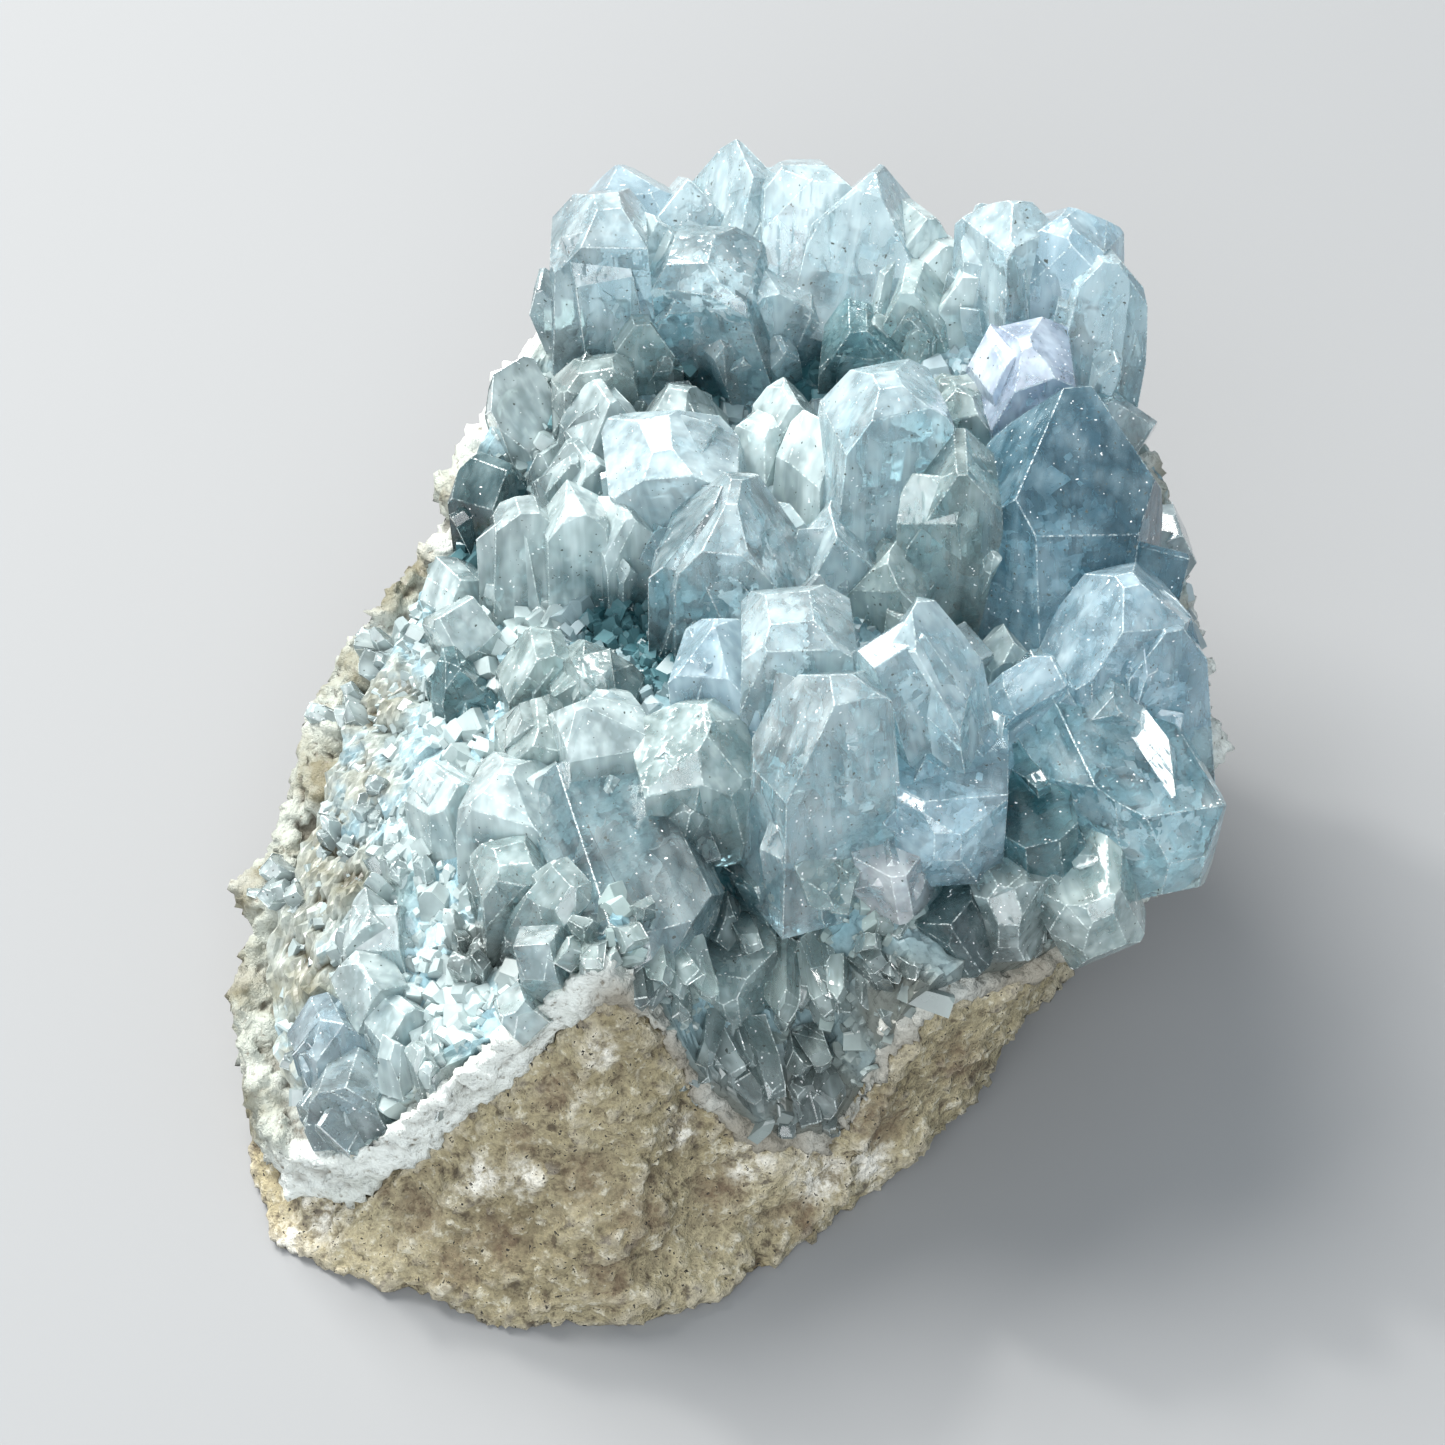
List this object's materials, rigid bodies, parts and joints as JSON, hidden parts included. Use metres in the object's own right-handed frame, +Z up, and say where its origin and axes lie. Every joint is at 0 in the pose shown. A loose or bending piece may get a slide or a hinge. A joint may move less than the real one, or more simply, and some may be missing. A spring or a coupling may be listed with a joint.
{
  "type": "celestite crystal cluster",
  "caption": "Broken chunk of a crystal-lined geode: pale blue blocky crystals crowd a white seam over grey-tan host rock with a flat underside to rest on.",
  "frame": {"origin": "middle of the flat underside that the chunk rests on", "axes": "+Z up out of the resting face, +Y away from the viewer along the longest side, +X to the viewer's right"},
  "size_m": [0.0766, 0.0835, 0.0505],
  "materials": {
    "host_rock": "rough granular grey-tan rock with dark specks",
    "white_seam": "white sugary massive mineral",
    "crystal_crust": "clear to milky pale blue crystal with glassy faces"
  },
  "bodies": {
    "root": {"host_rock": "host_rock", "white_seam": "white_seam", "crystal_crust": "crystal_crust"}
  },
  "joints": []
}
